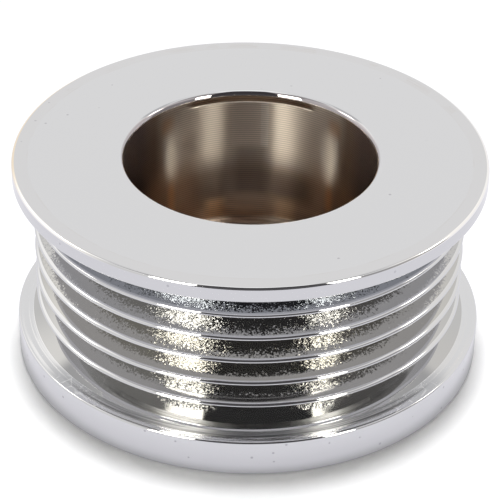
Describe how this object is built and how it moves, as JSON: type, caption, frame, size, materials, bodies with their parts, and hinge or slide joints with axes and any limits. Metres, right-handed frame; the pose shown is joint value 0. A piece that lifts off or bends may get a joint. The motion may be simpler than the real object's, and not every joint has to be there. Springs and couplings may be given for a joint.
{
  "type": "ribbed belt pulley",
  "caption": "Chrome-plated ribbed belt pulley: V grooves between two flanges, with a deep nut recess in the front and a shaft hole through the web at the rear.",
  "frame": {"origin": "on the turning axis, at the plane of the rear face that the pulley stands on", "axes": "+Z along the turning axis from the rear face towards the open front face; the section is the same all round, so +X and +Y are any two directions across it"},
  "size_m": [0.065, 0.065, 0.0297],
  "materials": {
    "chrome_plate": "bright chrome over polished steel, granular in the grooves, thin and brownish down the bore"
  },
  "bodies": {
    "root": {"pulley": "chrome_plate"}
  },
  "joints": []
}
